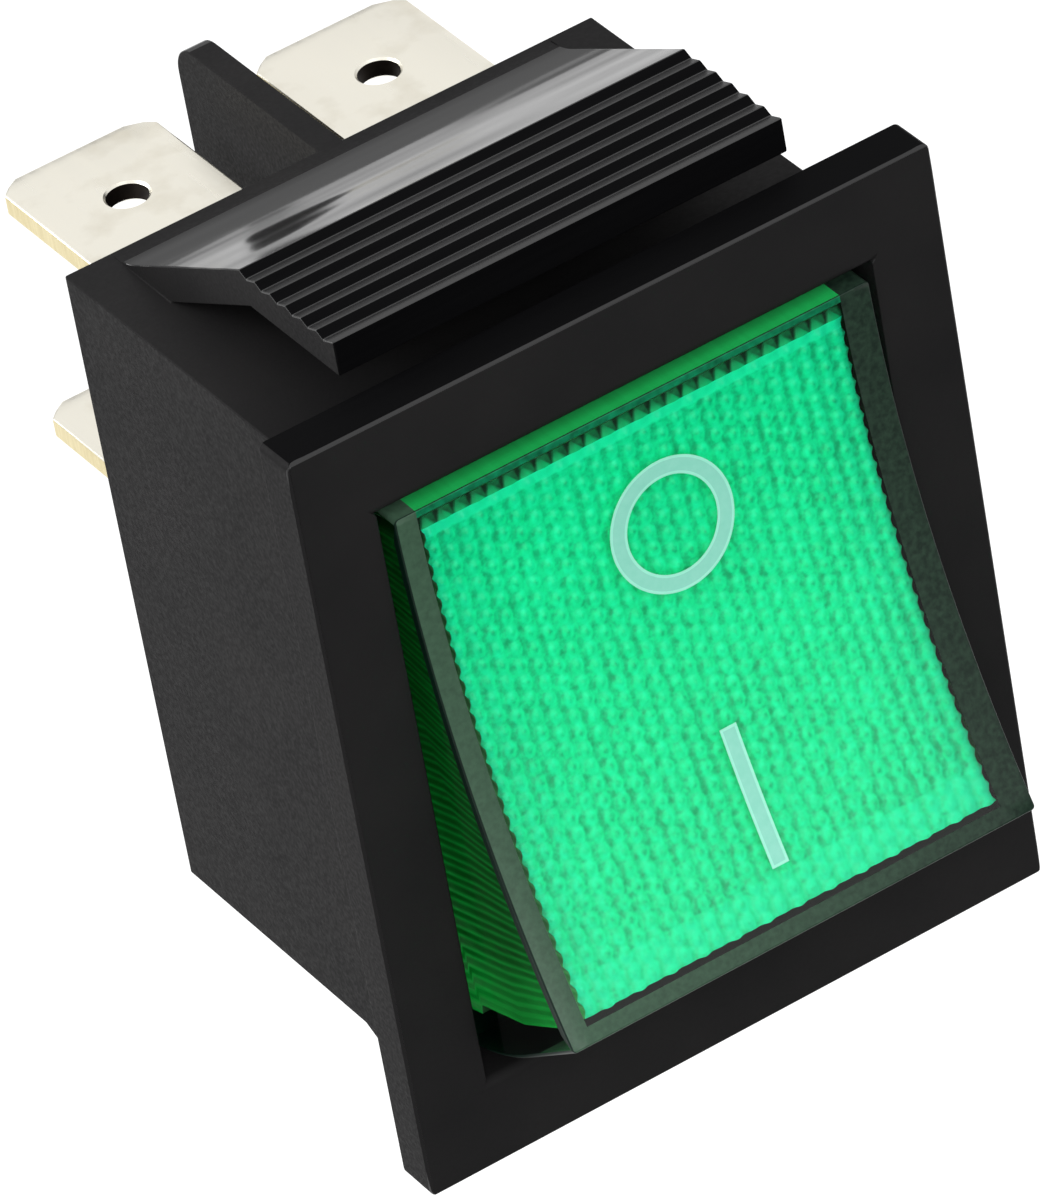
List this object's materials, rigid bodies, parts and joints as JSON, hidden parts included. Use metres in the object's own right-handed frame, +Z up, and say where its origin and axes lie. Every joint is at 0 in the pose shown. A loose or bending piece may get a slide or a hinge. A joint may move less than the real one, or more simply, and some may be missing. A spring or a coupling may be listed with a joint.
{
  "type": "rocker switch",
  "caption": "Snap-in panel rocker switch with a clear green lamp-lit rocker, black bezel and body with ribbed spring wings, and flat blade terminals behind.",
  "frame": {"origin": "centre of the bezel's back face, where the switch sits against its panel", "axes": "+Z up with the O end on top, -Y out of the front towards the user, +Y into the panel along the terminals, +X to the user's right"},
  "size_m": [0.0256, 0.0339, 0.0342],
  "materials": {
    "housing": "fine matt black nylon",
    "lens": "clear green polycarbonate, glossy, prisms behind the front",
    "carrier": "matt white",
    "bulb": "clear glass",
    "wire": "tinned",
    "resistor": "lacquered ceramic",
    "spring": "bright drawn wire",
    "plunger": "turned",
    "blade": "stamped copper alloy",
    "contact": "silver, satin",
    "terminal": "tin plated, satin"
  },
  "bodies": {
    "base": {"housing": "housing", "load_terminal_left": "terminal", "load_terminal_right": "terminal", "line_terminal_left": "terminal", "line_terminal_right": "terminal", "fixed_rivet_left": "contact", "fixed_rivet_right": "contact"},
    "rocker": {"rocker_lens": "lens", "lamp_carrier": "carrier", "lamp_bulb": "bulb", "lamp_lead_left": "wire", "lamp_lead_right": "wire", "lamp_resistor": "resistor", "spring_left": "spring", "spring_right": "spring"},
    "plunger_left": {"plunger_left": "plunger"},
    "plunger_right": {"plunger_right": "plunger"},
    "seesaw_left": {"blade_left": "blade", "blade_rivet_left": "contact"},
    "seesaw_right": {"blade_right": "blade", "blade_rivet_right": "contact"}
  },
  "joints": [
    {"name": "rocker_tilt", "type": "hinge", "parent": "base", "child": "rocker", "pos_m": [0, 0.0022, 0], "axis": [1, 0, 0], "range_deg": [0, 32.8]},
    {"name": "plunger_left_slide", "type": "slide", "parent": "rocker", "child": "plunger_left", "axis": [0, -0.9593, 0.2823], "range_m": [0, 0.0008], "stiffness_N_per_m": 300, "springref_m": -0.002, "deforming": ["spring_left"]},
    {"name": "plunger_right_slide", "type": "slide", "parent": "rocker", "child": "plunger_right", "axis": [0, -0.9593, 0.2823], "range_m": [0, 0.0008], "stiffness_N_per_m": 300, "springref_m": -0.002, "deforming": ["spring_right"]},
    {"name": "seesaw_left_tilt", "type": "hinge", "parent": "base", "child": "seesaw_left", "pos_m": [-0.0052, 0.0124, 0], "axis": [1, 0, 0], "range_deg": [-14, 0]},
    {"name": "seesaw_right_tilt", "type": "hinge", "parent": "base", "child": "seesaw_right", "pos_m": [0.0052, 0.0124, 0], "axis": [1, 0, 0], "range_deg": [-14, 0]}
  ],
  "couplings": [
    {"joint": "seesaw_left_tilt", "follows": "rocker_tilt", "ratio": -0.4268},
    {"joint": "seesaw_right_tilt", "follows": "rocker_tilt", "ratio": -0.4268}
  ]
}
